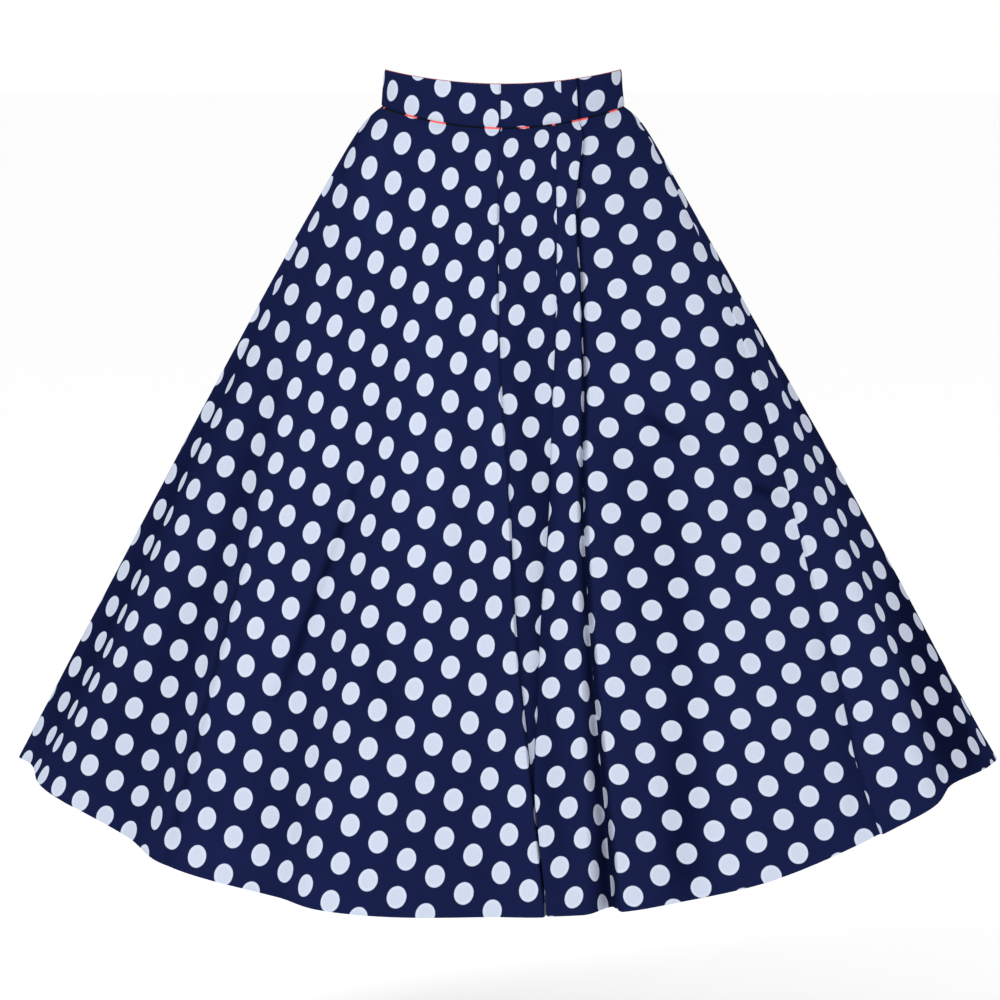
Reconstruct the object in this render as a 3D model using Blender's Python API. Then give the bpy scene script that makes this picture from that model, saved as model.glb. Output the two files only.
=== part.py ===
"""A flared midi skirt on a narrow waistband, in the hollow form it has when worn.

Units are metres, +Z is up, the front faces -Y and +X is the viewer's right.
The origin is the middle of the waist ring, where a wearer holds the skirt up.

A point of the cloth is given by its azimuth (0 at the centre front, 90 at the
viewer's right, 180 at the centre back) and by its level: 0 at the waist seam
and 1 at the hem. The plain form runs straight from the waist ring to the hem
section. Folds are lines that run down it, each with a height above or below
the plain form, and the cloth rolls smoothly from one line to the next.
"""

from typing import NamedTuple

import bpy
import numpy as np

CLOTH = 0.0015              # wall of a skirt panel
BAND_CLOTH = 0.0022         # wall of the doubled waistband
SEAM_GAP = 0.0003           # pieces stand this far apart at a seam
STEEP_WALL = 2.4            # most that a wall is widened where the cloth runs steeply inward

WAIST_HALF_WIDTH = 0.1222   # waist ring at the seam between band and skirt
WAIST_HALF_DEPTH = 0.0920
BAND_LEAN = 0.0030          # the band's top edge lies this far inside its lower edge
BAND_TOP = 0.0200           # top edge at the sides
BAND_FOOT = -0.0167         # waist seam at the sides
TOP_DIP_FRONT = 0.0140      # the top edge dips at the centre front and back
TOP_DIP_BACK = 0.0165
FOOT_DIP = 0.0205           # the waist seam dips too
SHOULDER = 0.0115           # the gathered-in cloth swells out below the seam
SHOULDER_RUN = 0.012

STATIONS = (0.0, 0.3, 0.65, 1.0)   # waist seam, hip, knee and hem levels of the tables
LEVELS = (0.0, 0.010, 0.028, 0.07, 0.14, 0.23, 0.33, 0.44, 0.55, 0.66, 0.77, 0.885, 1.0)
BAND_LEVELS = (0.0, 0.5, 1.0)
COLUMN_WIDTH = 0.026        # widest column of faces at the hem
FOLD_COLUMNS = 2            # least columns between two lines of the profile
NAVY = (0.014, 0.018, 0.062, 1.0)
NAVY_BAND = (0.012, 0.016, 0.056, 1.0)


class HemPoint(NamedTuple):
    """The plain hem at one azimuth, and the length of cloth from waist seam to hem there."""

    azimuth: float
    x: float
    y: float
    cut: float


HEM_SECTION = (
    HemPoint(0.0, 0.010, -0.360, 0.789),
    HemPoint(22.5, 0.190, -0.352, 0.789),
    HemPoint(45.0, 0.348, -0.316, 0.773),
    HemPoint(67.5, 0.448, -0.256, 0.762),
    HemPoint(90.0, 0.495, -0.110, 0.776),
    HemPoint(112.5, 0.440, 0.070, 0.757),
    HemPoint(135.0, 0.335, 0.200, 0.772),
    HemPoint(157.5, 0.175, 0.270, 0.783),
    HemPoint(180.0, -0.005, 0.295, 0.788),
    HemPoint(202.5, -0.185, 0.280, 0.785),
    HemPoint(225.0, -0.340, 0.215, 0.778),
    HemPoint(247.5, -0.445, 0.115, 0.768),
    HemPoint(270.0, -0.493, 0.000, 0.762),
    HemPoint(292.5, -0.435, -0.125, 0.765),
    HemPoint(315.0, -0.315, -0.235, 0.782),
    HemPoint(337.5, -0.160, -0.320, 0.791),
)


class Line(NamedTuple):
    """A line down the skirt: its azimuth in degrees at the four stations."""

    waist: float
    hip: float
    knee: float
    hem: float


LINES = {
    "back_seam": Line(-180.0, -180.0, -180.0, -180.0),
    "back_ridge_1": Line(-163.0, -164.0, -166.0, -167.0),
    "back_valley_1": Line(-155.0, -154.0, -153.0, -151.0),
    "back_ridge_2": Line(-141.0, -141.0, -140.0, -138.0),
    "back_valley_2": Line(-131.0, -129.0, -127.0, -124.0),
    "back_ridge_3": Line(-117.0, -114.0, -112.0, -110.0),
    "back_valley_3": Line(-104.0, -101.0, -100.0, -99.0),
    "left_side": Line(-90.0, -90.0, -90.0, -90.0),
    "left_valley_1": Line(-87.0, -86.5, -81.5, -83.5),
    "left_ridge_1": Line(-84.0, -80.0, -71.5, -72.5),
    "left_valley_2": Line(-78.0, -66.5, -56.0, -55.5),
    "left_ridge_2": Line(-70.0, -57.0, -48.0, -47.5),
    "left_valley_3": Line(-32.0, -31.0, -32.0, -31.5),
    "left_ridge_3": Line(-20.0, -22.0, -25.0, -24.5),
    "left_valley_4": Line(-10.0, -11.0, -8.0, -4.0),
    "front_seam": Line(-1.0, -1.5, 1.1, 3.9),
    "front_tuck": Line(22.3, 12.0, 5.0, 4.5),
    "front_pleat": Line(34.5, 18.9, 12.9, 11.8),
    "right_valley_1": Line(48.0, 28.0, 20.5, 20.5),
    "right_ridge_1": Line(58.0, 40.0, 33.0, 31.0),
    "right_tuck": Line(80.0, 70.0, 54.8, 47.5),
    "right_ridge_2": Line(83.0, 76.0, 64.0, 56.5),
    "right_valley_2": Line(86.0, 83.0, 75.0, 66.0),
    "right_ridge_3": Line(88.0, 87.0, 84.0, 78.0),
    "right_side": Line(90.0, 90.0, 90.0, 90.0),
    "back_valley_4": Line(101.0, 101.0, 102.0, 102.0),
    "back_ridge_4": Line(113.0, 113.0, 114.0, 115.0),
    "back_valley_5": Line(127.0, 127.0, 128.0, 130.0),
    "back_ridge_5": Line(138.0, 139.0, 141.0, 143.0),
    "back_valley_6": Line(152.0, 154.0, 156.0, 158.0),
    "back_ridge_6": Line(165.0, 167.0, 169.0, 170.0),
    "back_seam_end": Line(180.0, 180.0, 180.0, 180.0),
}


class Fold(NamedTuple):
    """A point of every cross-section, in millimetres: its step aside from a line, and its height.

    The step aside is given at the waist seam and at the hem, the height at the four stations.
    """

    line: str
    aside: float
    aside_hem: float
    waist: float
    hip: float
    knee: float
    hem: float


FOLDS = (
    Fold("back_seam", 0.0, 0.0, 0.0, -2.0, -6.0, -9.0),
    Fold("back_ridge_1", 0.0, 0.0, 0.0, 2.0, 7.0, 12.0),
    Fold("back_valley_1", 0.0, 0.0, 0.0, -2.5, -7.0, -11.0),
    Fold("back_ridge_2", 0.0, 0.0, 0.0, 3.0, 8.0, 13.0),
    Fold("back_valley_2", 0.0, 0.0, 0.0, -2.5, -7.5, -12.0),
    Fold("back_ridge_3", 0.0, 0.0, 0.0, 2.5, 7.0, 11.0),
    Fold("back_valley_3", 0.0, 0.0, 0.0, -2.0, -5.0, -7.0),
    Fold("left_side", 0.0, 0.0, 0.0, 7.0, 7.0, 5.0),
    Fold("left_valley_1", 0.0, 0.0, 0.0, -1.0, -4.0, -7.0),
    Fold("left_ridge_1", 0.0, 0.0, 0.0, 1.0, 7.0, 11.0),
    Fold("left_valley_2", 0.0, 0.0, 0.0, -4.5, -8.5, -11.0),
    Fold("left_ridge_2", 0.0, 0.0, 0.0, 4.5, 9.0, 11.0),
    Fold("left_valley_3", 0.0, 0.0, 0.0, -1.5, -5.0, -7.5),
    Fold("left_ridge_3", 0.0, 0.0, 0.0, 1.5, 5.0, 8.0),
    Fold("left_valley_4", 0.0, 0.0, 0.0, -1.5, -3.5, -4.0),
    Fold("front_seam", -5.0, -5.0, 1.5, 4.0, 5.0, 5.5),
    Fold("front_seam", 0.0, 0.0, 0.0, -1.0, -1.5, -2.0),
    Fold("front_tuck", -2.5, -2.5, -0.5, -2.5, -3.0, -3.0),
    Fold("front_tuck", 2.5, 2.5, 1.5, 3.0, 3.5, 2.5),
    Fold("front_pleat", -4.0, -28.0, 1.5, 3.0, 3.5, 4.0),
    Fold("front_pleat", 0.0, 0.0, -4.0, -10.0, -15.0, -22.0),
    Fold("front_pleat", 4.0, 7.0, 1.0, 3.0, 3.5, 4.0),
    Fold("right_valley_1", 0.0, 0.0, 0.0, 0.0, -2.0, -4.0),
    Fold("right_ridge_1", 0.0, 0.0, 0.0, 1.0, 3.0, 5.0),
    Fold("right_tuck", -3.5, -3.5, 0.0, -1.0, -5.0, -4.0),
    Fold("right_tuck", 3.5, 3.5, 0.0, 1.0, 5.0, 4.0),
    Fold("right_ridge_2", 0.0, 0.0, 0.0, 1.0, 5.0, 8.0),
    Fold("right_valley_2", 0.0, 0.0, 0.0, -1.0, -6.0, -10.0),
    Fold("right_ridge_3", 0.0, 0.0, 0.0, 0.5, 3.0, 7.0),
    Fold("right_side", 0.0, 0.0, 0.0, 0.0, -3.0, -1.0),
    Fold("back_valley_4", 0.0, 0.0, 0.0, -2.0, -6.0, -9.0),
    Fold("back_ridge_4", 0.0, 0.0, 0.0, 2.5, 7.0, 11.0),
    Fold("back_valley_5", 0.0, 0.0, 0.0, -2.5, -7.0, -11.0),
    Fold("back_ridge_5", 0.0, 0.0, 0.0, 3.0, 8.0, 12.0),
    Fold("back_valley_6", 0.0, 0.0, 0.0, -2.0, -6.0, -10.0),
    Fold("back_ridge_6", 0.0, 0.0, 0.0, 2.0, 7.0, 11.0),
    Fold("back_seam_end", 0.0, 0.0, 0.0, -2.0, -6.0, -9.0),
)

PANELS = (
    ("skirt_back_left", "back_seam", "left_side"),
    ("skirt_front_left", "left_side", "front_seam"),
    ("skirt_front_right", "front_seam", "right_side"),
    ("skirt_back_right", "right_side", "back_seam_end"),
)
BAND_PIECES = (
    ("waistband_back_left", "back_seam", "left_side"),
    ("waistband_front_left", "left_side", "front_seam"),
    ("waistband_front_right", "front_seam", "right_side"),
    ("waistband_back_right", "right_side", "back_seam_end"),
)


def clear_scene() -> None:
    """Remove every object of the startup scene."""
    for item in list(bpy.data.objects):
        bpy.data.objects.remove(item, do_unlink=True)


def cloth_material(name: str, colour: tuple) -> bpy.types.Material:
    """A soft cotton finish of one colour."""
    material = bpy.data.materials.new(name)
    material.use_nodes = True
    shader = material.node_tree.nodes["Principled BSDF"]
    shader.inputs["Base Color"].default_value = colour
    shader.inputs["Roughness"].default_value = 0.8
    shader.inputs["Metallic"].default_value = 0.0
    return material


def through_stations(values: tuple, level: np.ndarray) -> np.ndarray:
    """The smooth curve through one value at each station, read at the levels."""
    total = np.zeros_like(level)
    for i, value in enumerate(values):
        weight = np.ones_like(level)
        for j, station in enumerate(STATIONS):
            if j != i:
                weight = weight * (level - station) / (STATIONS[i] - station)
        total = total + value * weight
    return total


def hem_section(azimuth: np.ndarray) -> np.ndarray:
    """The plain hem's x, y and cut length at the azimuths, a smooth closed curve."""
    table = np.array([(point.x, point.y, point.cut) for point in HEM_SECTION])
    count = len(table)
    place = (azimuth * count / 360.0) % count
    row = np.floor(place).astype(int)
    s = (place - row)[..., None]
    before, first, second, after = [table[(row + k) % count] for k in (-1, 0, 1, 2)]
    return 0.5 * (
        2.0 * first
        + (second - before) * s
        + (2.0 * before - 5.0 * first + 4.0 * second - after) * s ** 2
        + (3.0 * first - before - 3.0 * second + after) * s ** 3
    )


def plain_plan(azimuth: np.ndarray, level: np.ndarray) -> np.ndarray:
    """The plain form's x and y."""
    angle = np.radians(azimuth)
    hem = hem_section(azimuth)
    waist = np.stack((WAIST_HALF_WIDTH * np.sin(angle), -WAIST_HALF_DEPTH * np.cos(angle)), -1)
    return waist + (hem[..., :2] - waist) * level[..., None]


def plan_tangent(azimuth: np.ndarray, level: np.ndarray) -> np.ndarray:
    """The change of x and y for each degree of azimuth."""
    step = 0.5
    return plain_plan(azimuth + step, level) - plain_plan(azimuth - step, level)


def foot_height(azimuth: np.ndarray) -> np.ndarray:
    """Height of the waist seam."""
    return BAND_FOOT - FOOT_DIP * np.cos(np.radians(azimuth)) ** 2


def top_height(azimuth: np.ndarray) -> np.ndarray:
    """Height of the band's top edge."""
    across = np.cos(np.radians(azimuth))
    dip = np.where(across > 0.0, TOP_DIP_FRONT, TOP_DIP_BACK)
    return BAND_TOP - dip * across ** 2


def cloth_point(azimuth: np.ndarray, level: np.ndarray, height: np.ndarray) -> np.ndarray:
    """The point of the skirt that lies the given height outside the plain form."""
    tangent = plan_tangent(azimuth, level)
    length = np.linalg.norm(tangent, axis=-1, keepdims=True)
    outward = np.stack((tangent[..., 1], -tangent[..., 0]), -1) / length
    hem = hem_section(azimuth)
    waist = plain_plan(azimuth, np.zeros_like(level))
    spread = np.linalg.norm(hem[..., :2] - waist, axis=-1)
    drop = np.sqrt(hem[..., 2] ** 2 - spread ** 2)
    swell = SHOULDER * (1.0 - np.exp(-level * hem[..., 2] / SHOULDER_RUN)) * (1.0 - level)
    plan = plain_plan(azimuth, level) + outward * (height + swell)[..., None]
    z = foot_height(azimuth) - SEAM_GAP - drop * level
    return np.concatenate((plan, z[..., None]), -1)


def band_point(azimuth: np.ndarray, rise: np.ndarray, height: np.ndarray) -> np.ndarray:
    """The point of the band at a share of its rise, the given height outside the ring."""
    angle = np.radians(azimuth)
    reach = height - BAND_LEAN * rise
    x = (WAIST_HALF_WIDTH + reach) * np.sin(angle)
    y = -(WAIST_HALF_DEPTH + reach) * np.cos(angle)
    foot = foot_height(azimuth)
    z = foot + (top_height(azimuth) - foot) * rise
    return np.stack((x, y, z), -1)


def fold_rows(level: np.ndarray) -> tuple:
    """Azimuth and height of every fold at the levels, with the folds in order round the skirt."""
    azimuths = []
    heights = []
    for fold in FOLDS:
        middle = through_stations(LINES[fold.line], level)
        metres = np.linalg.norm(plan_tangent(middle, level), axis=-1)
        aside = fold.aside + (fold.aside_hem - fold.aside) * level
        azimuths.append(middle + aside / 1000.0 / metres)
        heights.append(through_stations(fold[3:], level) / 1000.0)
    order = np.arange(len(FOLDS))[:, None] * 0.05
    azimuth = np.maximum.accumulate(np.array(azimuths) - order, axis=0) + order
    return azimuth, np.array(heights)


def columns_between(first: int, last: int) -> list:
    """The columns of a piece, each as a fold's index and a share of the way to the next fold."""
    hem_azimuth, hem_height = fold_rows(np.array([1.0]))
    columns = []
    for index in range(first, last):
        ends = plain_plan(hem_azimuth[index:index + 2, 0], np.ones(2))
        run = np.linalg.norm(ends[1] - ends[0])
        rise = abs(hem_height[index + 1, 0] - hem_height[index, 0])
        count = max(FOLD_COLUMNS, int(np.ceil(np.hypot(run, rise) / COLUMN_WIDTH)))
        columns.extend((index, share / count) for share in range(count))
    columns.append((last, 0.0))
    return columns


def fold_index(line: str) -> int:
    """The index of the fold that lies on a seam line itself."""
    return next(i for i, fold in enumerate(FOLDS) if fold.line == line and fold.aside == 0.0)


def piece_surface(start: str, end: str, levels: np.ndarray) -> tuple:
    """Azimuth and height of a piece's grid, level by level, drawn in at its two seams."""
    columns = columns_between(fold_index(start), fold_index(end))
    fold_azimuth, fold_height = fold_rows(levels)
    azimuth = np.empty((len(levels), len(columns)))
    height = np.empty_like(azimuth)
    last = len(FOLDS) - 1
    for number, (index, share) in enumerate(columns):
        ahead = min(index + 1, last)
        roll = 0.5 - 0.5 * np.cos(np.pi * share)
        azimuth[:, number] = fold_azimuth[index] * (1 - share) + fold_azimuth[ahead] * share
        height[:, number] = fold_height[index] * (1 - roll) + fold_height[ahead] * roll
    for column, side in ((0, 1.0), (-1, -1.0)):
        metres = np.linalg.norm(plan_tangent(azimuth[:, column], levels), axis=-1)
        azimuth[:, column] += side * SEAM_GAP / 2.0 / metres
    return azimuth, height


def wall_allowance(azimuth: np.ndarray, height: np.ndarray, level: np.ndarray) -> np.ndarray:
    """How much wider the wall is made where the cloth runs steeply, so it keeps its thickness."""
    metres = np.linalg.norm(plan_tangent(azimuth, level), axis=-1)
    slope = np.gradient(height, axis=1) / (np.gradient(azimuth, axis=1) * metres)
    return np.minimum(np.sqrt(1.0 + slope ** 2), STEEP_WALL)


def wall_object(name: str, outer: np.ndarray, inner: np.ndarray, material) -> None:
    """Make one closed wall from its outer and inner grids, rows running downward."""
    rows, columns = outer.shape[:2]
    points = np.concatenate((outer.reshape(-1, 3), inner.reshape(-1, 3)))
    skin = rows * columns

    def outside(row: int, column: int) -> int:
        return row * columns + column

    def inside(row: int, column: int) -> int:
        return skin + row * columns + column

    faces = []
    for row in range(rows - 1):
        for column in range(columns - 1):
            corners = ((row, column), (row + 1, column), (row + 1, column + 1), (row, column + 1))
            a, b, c, d = [outside(*corner) for corner in corners]
            faces.extend(((a, b, c), (a, c, d)))
            a, b, c, d = [inside(*corner) for corner in corners]
            faces.extend(((a, c, b), (a, d, c)))
    for row in range(rows - 1):
        for column, turn in ((0, 1), (columns - 1, -1)):
            edge = (outside(row, column), inside(row, column),
                    inside(row + 1, column), outside(row + 1, column))
            faces.append(edge[::turn])
    for column in range(columns - 1):
        for row, turn in ((0, -1), (rows - 1, 1)):
            edge = (outside(row, column), inside(row, column),
                    inside(row, column + 1), outside(row, column + 1))
            faces.append(edge[::turn])
    mesh = bpy.data.meshes.new(name)
    mesh.from_pydata([tuple(point) for point in points], [], faces)
    mesh.materials.append(material)
    mesh.shade_smooth()
    mesh.set_sharp_from_angle(angle=np.radians(40.0))
    bpy.context.collection.objects.link(bpy.data.objects.new(name, mesh))


def make_panel(name: str, start: str, end: str, material) -> None:
    """One panel of the skirt, from the waist seam to the hem."""
    levels = np.array(LEVELS)
    azimuth, height = piece_surface(start, end, levels)
    level = np.broadcast_to(levels[:, None], azimuth.shape)
    depth = CLOTH * wall_allowance(azimuth, height, level)
    outer = cloth_point(azimuth, level, height)
    inner = cloth_point(azimuth, level, height - depth)
    wall_object(name, outer, inner, material)


def make_band_piece(name: str, start: str, end: str, material) -> None:
    """One piece of the waistband, which follows the folds of the skirt's top edge."""
    waist = np.zeros(1)
    azimuth, height = piece_surface(start, end, waist)
    rise = np.array(BAND_LEVELS)[::-1, None] * np.ones_like(azimuth)
    azimuth = azimuth * np.ones_like(rise)
    height = height * np.ones_like(rise)
    outer = band_point(azimuth, rise, height)
    inner = band_point(azimuth, rise, height - BAND_CLOTH)
    wall_object(name, outer, inner, material)


def main() -> None:
    """Build every piece of the skirt."""
    clear_scene()
    skirt_cotton = cloth_material("skirt_cotton", NAVY)
    band_cotton = cloth_material("band_cotton", NAVY_BAND)
    for name, start, end in PANELS:
        make_panel(name, start, end, skirt_cotton)
    for name, start, end in BAND_PIECES:
        make_band_piece(name, start, end, band_cotton)


main()
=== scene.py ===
"""Looks of a flared midi skirt in navy cotton printed with white dots, filled out as when worn.

Units are metres, +Z is up, the front faces -Y and +X is the viewer's right. The cloth is
drawn on the same plain form and folds as the solids, at a finer step, with its creases,
its print laid out on the flat cut of each panel, its seams and its stitches.
"""

import logging
import math
from collections.abc import Callable
from dataclasses import dataclass, field
from enum import Enum
from typing import NamedTuple

import bpy
import numpy as np
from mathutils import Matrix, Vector, noise


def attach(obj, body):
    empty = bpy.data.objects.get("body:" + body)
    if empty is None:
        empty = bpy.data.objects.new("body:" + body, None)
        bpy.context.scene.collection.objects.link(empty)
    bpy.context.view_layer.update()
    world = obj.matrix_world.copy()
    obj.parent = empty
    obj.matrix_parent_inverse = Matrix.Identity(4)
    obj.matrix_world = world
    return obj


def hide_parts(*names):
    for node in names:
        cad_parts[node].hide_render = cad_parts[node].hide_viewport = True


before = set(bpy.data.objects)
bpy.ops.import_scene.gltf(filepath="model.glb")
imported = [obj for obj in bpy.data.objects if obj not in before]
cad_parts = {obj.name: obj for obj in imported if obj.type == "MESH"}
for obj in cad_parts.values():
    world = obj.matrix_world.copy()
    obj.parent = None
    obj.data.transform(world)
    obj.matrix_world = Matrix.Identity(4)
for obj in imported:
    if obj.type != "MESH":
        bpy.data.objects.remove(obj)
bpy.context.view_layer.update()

Array = np.ndarray
Object = bpy.types.Object
Material = bpy.types.Material
Socket = bpy.types.NodeSocket

LOG = logging.getLogger("skirt")
MM = 0.001
BODY = "root"


class Side(Enum):
    """The two faces of a cloth shell, as material slots of its mesh; the edges take the first."""

    FACE = 0
    WRONG = 1


class Slot(Enum):
    """The record's material slots."""

    SKIRT = "skirt_cotton"
    BAND = "band_cotton"
    THREAD = "thread"


class HemPoint(NamedTuple):
    """The plain hem at one azimuth, and the length of cloth from waist seam to hem there.

    The points follow one another evenly from the middle of the front to the viewer's right.
    """

    x: float
    y: float
    cut: float


class Line(NamedTuple):
    """A line down the skirt: its azimuth in degrees at the waist seam, hip, knee and hem."""

    waist: float
    hip: float
    knee: float
    hem: float


class Fold(NamedTuple):
    """A point of every cross-section, in millimetres: its height at the four stations.

    It lies on a line, or to one side of it by its step aside at the waist seam and at the hem.
    """

    line: str
    waist: float
    hip: float
    knee: float
    hem: float
    aside: float = 0.0
    aside_hem: float = 0.0


class Nudge(NamedTuple):
    """A small local shift of a line: where it is most, how far it reaches, and its degrees."""

    line: str
    level: float
    reach: float
    degrees: float


class Crease(NamedTuple):
    """A soft trough or ridge between two points of the cloth.

    The ends are azimuths in degrees with their levels, height (a trough is negative) and
    half-width are in millimetres, and bow moves its middle sideways, in degrees.
    """

    azimuth: float
    level: float
    azimuth_end: float
    level_end: float
    height: float
    half_width: float
    bow: float = 0.0


class Shade(NamedTuple):
    """A soft painted shade between two points of the cloth, where light hardly reaches.

    The ends are azimuths in degrees with their levels, share is how strong the painted shade is
    (below 0 it is a painted light), and the half-widths at the two ends are in millimetres.
    """

    azimuth: float
    level: float
    azimuth_end: float
    level_end: float
    share: float
    half_width: float
    half_width_end: float


class Grain(NamedTuple):
    """How the print lies on one region of a piece, between two fold columns.

    The flat cut is turned by turn about the region's middle bearing, both in degrees. Hanging
    draws the cloth off its flat lay, so the print drifts, in millimetres to its right and up:
    by shift at the middle, by across for each step of bearing, by along for each step down,
    and by the next three for those steps' products: across twice, both, and along twice. The
    last three are the same as shift, across and across_twice, but fade out below the waist seam.
    """

    start: str
    end: str
    bearing: float
    turn: float
    shift: tuple = (0, 0)
    across: tuple = (0, 0)
    along: tuple = (0, 0)
    across_twice: tuple = (0, 0)
    both: tuple = (0, 0)
    along_twice: tuple = (0, 0)
    waist: tuple = (0, 0)
    waist_across: tuple = (0, 0)
    waist_across_twice: tuple = (0, 0)


STATIONS = (0.0, 0.3, 0.65, 1.0)

HEM_SECTION = (
    HemPoint(0.01, -0.36, 0.789),
    HemPoint(0.19, -0.352, 0.789),
    HemPoint(0.348, -0.316, 0.777),
    HemPoint(0.448, -0.256, 0.762),
    HemPoint(0.495, -0.11, 0.757),
    HemPoint(0.44, 0.07, 0.757),
    HemPoint(0.335, 0.2, 0.772),
    HemPoint(0.175, 0.27, 0.783),
    HemPoint(-0.005, 0.295, 0.788),
    HemPoint(-0.185, 0.28, 0.785),
    HemPoint(-0.34, 0.215, 0.778),
    HemPoint(-0.445, 0.115, 0.768),
    HemPoint(-0.493, 0, 0.762),
    HemPoint(-0.435, -0.125, 0.765),
    HemPoint(-0.315, -0.235, 0.782),
    HemPoint(-0.16, -0.32, 0.791),
)

LINES = {
    "back_seam": Line(-180, -180, -180, -180),
    "back_ridge_1": Line(-163, -164, -166, -167),
    "back_valley_1": Line(-155, -154, -153, -151),
    "back_ridge_2": Line(-141, -141, -140, -138),
    "back_valley_2": Line(-131, -129, -127, -124),
    "back_ridge_3": Line(-117, -114, -112, -110),
    "back_valley_3": Line(-104, -101, -100, -99),
    "left_side": Line(-90, -90, -90, -90),
    "left_valley_1": Line(-87, -86.5, -81.5, -83.5),
    "left_ridge_1": Line(-84, -80, -71.5, -72.5),
    "left_valley_2": Line(-78, -66.5, -56, -55.5),
    "left_ridge_2": Line(-70, -57, -48, -47.5),
    "left_valley_3": Line(-32, -31, -32, -31.5),
    "left_ridge_3": Line(-20, -22, -25, -24.5),
    "left_valley_4": Line(-10, -11, -8, -4),
    "front_seam": Line(-1, -1.5, 1.1, 3.9),
    "front_tuck": Line(22.3, 12, 5, 4.5),
    "front_pleat": Line(34.5, 18.9, 12.9, 11.8),
    "right_valley_1": Line(48, 28, 20.5, 20.5),
    "right_ridge_1": Line(58, 40, 33, 31),
    "right_tuck": Line(80, 70, 54.8, 47.5),
    "right_ridge_2": Line(83, 76, 64, 56.5),
    "right_valley_2": Line(86, 83, 75, 66),
    "right_ridge_3": Line(88, 87, 84, 78),
    "right_side": Line(90, 90, 90, 90),
    "back_valley_4": Line(101, 101, 102, 102),
    "back_ridge_4": Line(113, 113, 114, 115),
    "back_valley_5": Line(127, 127, 128, 130),
    "back_ridge_5": Line(138, 139, 141, 143),
    "back_valley_6": Line(152, 154, 156, 158),
    "back_ridge_6": Line(165, 167, 169, 170),
    "back_seam_end": Line(180, 180, 180, 180),
}

FOLDS = (
    Fold("back_seam", 0, -2, -6, -9),
    Fold("back_ridge_1", 0, 2, 7, 12),
    Fold("back_valley_1", 0, -2.5, -7, -11),
    Fold("back_ridge_2", 0, 3, 8, 13),
    Fold("back_valley_2", 0, -2.5, -7.5, -12),
    Fold("back_ridge_3", 0, 2.5, 7, 11),
    Fold("back_valley_3", 0, -2, -5, -7),
    Fold("left_side", 0, 7, 7, 5),
    Fold("left_valley_1", 0, -1, -4, -5),
    Fold("left_ridge_1", 0, 1, 7, 9.5),
    Fold("left_valley_2", 0, -4.5, -8, -8),
    Fold("left_ridge_2", 0, 4.5, 8.5, 9),
    Fold("left_valley_3", 0, -1.5, -5, -7.5),
    Fold("left_ridge_3", 0, 1.5, 5, 8),
    Fold("left_valley_4", 0, -1.5, -3.5, -4),
    Fold("front_seam", 1.5, 4, 5, 5.5, -2.2, -2.8),
    Fold("front_seam", 0, -1, -1.5, -2),
    Fold("front_tuck", -0.5, -2.5, -3, -3, -1.2, -1.2),
    Fold("front_tuck", 1.5, 3, 3.5, 2.5, 1.2, 1.2),
    Fold("front_pleat", 1.5, 3, 3.5, 4, -4, -28),
    Fold("front_pleat", -3, -6.5, -11, -24),
    Fold("front_pleat", 0.5, 0.5, 1, 4, 4, 7),
    Fold("right_valley_1", 0, 0, -2, -4),
    Fold("right_ridge_1", 0, 1, 3, 5),
    Fold("right_tuck", 0, -0.5, -4, -3, -1.6, -1.6),
    Fold("right_tuck", 0, 0.5, 4, 3, 1.6, 1.6),
    Fold("right_ridge_2", 0, 1, 5, 8),
    Fold("right_valley_2", 0, -1, -6, -10),
    Fold("right_ridge_3", 0, 0.5, 3, -3),
    Fold("right_side", 0, 0, -3, -1),
    Fold("back_valley_4", 0, -2, -6, -9),
    Fold("back_ridge_4", 0, 2.5, 7, 11),
    Fold("back_valley_5", 0, -2.5, -7, -11),
    Fold("back_ridge_5", 0, 3, 8, 12),
    Fold("back_valley_6", 0, -2, -6, -10),
    Fold("back_ridge_6", 0, 2, 7, 11),
    Fold("back_seam_end", 0, -2, -6, -9),
)

NUDGES = (
    Nudge("front_pleat", 0, 0.05, 4.2),
    Nudge("front_pleat", 0.12, 0.06, -1.4),
    Nudge("front_pleat", 0.34, 0.08, 0.7),
    Nudge("front_seam", 0.46, 0.12, 0.9),
    Nudge("front_tuck", 0, 0.05, 1.2),
    Nudge("front_tuck", 0.5, 0.08, 0.5),
    Nudge("front_tuck", 0.9, 0.14, -1),
    Nudge("right_tuck", 0.81, 0.08, 0.9),
)

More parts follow.
